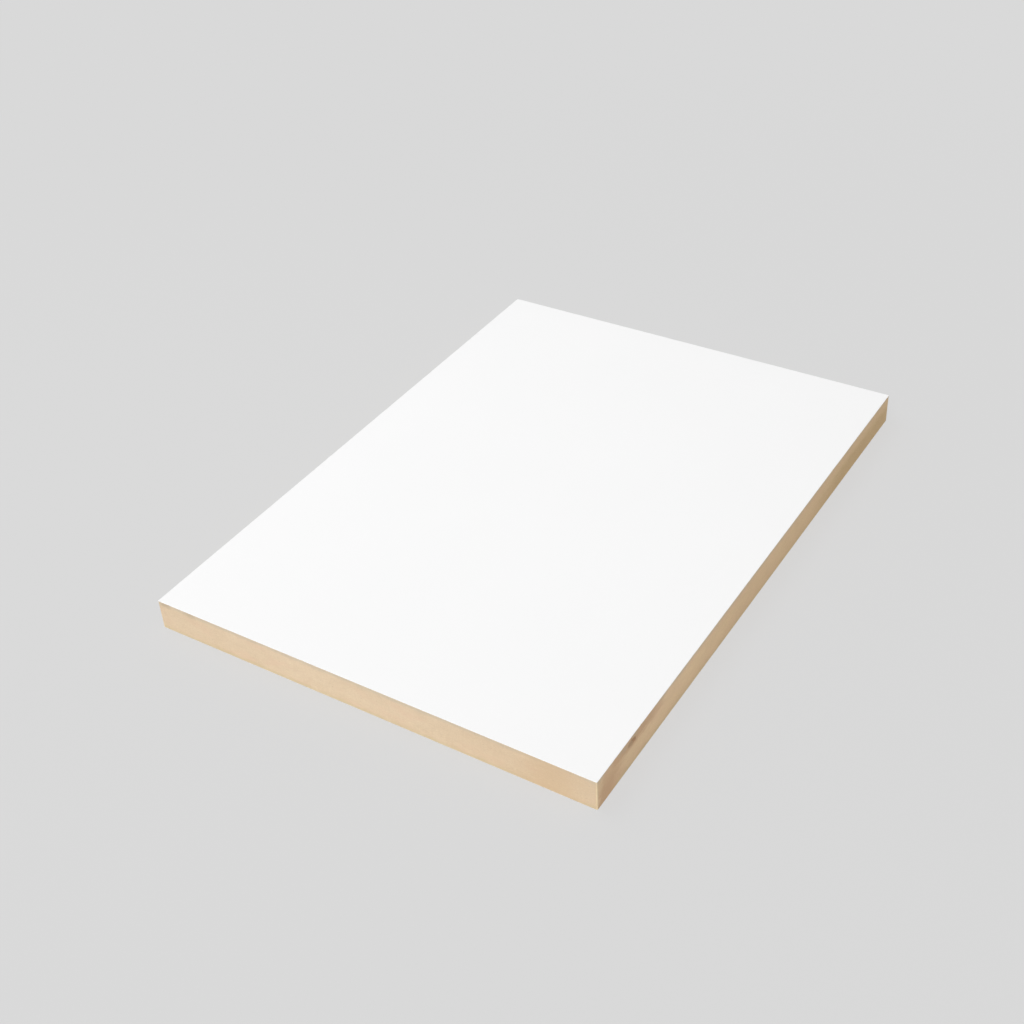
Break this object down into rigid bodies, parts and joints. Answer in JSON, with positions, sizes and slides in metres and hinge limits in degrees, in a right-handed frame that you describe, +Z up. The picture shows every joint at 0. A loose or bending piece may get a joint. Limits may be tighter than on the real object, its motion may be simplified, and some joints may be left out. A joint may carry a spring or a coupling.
{
  "type": "mdf panel",
  "caption": "Flat rectangular fibreboard panel with a plain white hard facing and bare sawn edges, cut to size for shelves, doors and small furniture.",
  "frame": {"origin": "middle of the underside, at the height of the surface that the panel lies on", "axes": "+X across the width, +Y along the length, +Z up through the thickness, from the underside to the top face"},
  "size_m": [0.26, 0.355, 0.018],
  "materials": {
    "raw_fibreboard": "matte",
    "white_facing": "satin"
  },
  "bodies": {
    "root": {"mdf_core": "raw_fibreboard", "top_facing": "white_facing", "bottom_facing": "white_facing"}
  },
  "joints": []
}
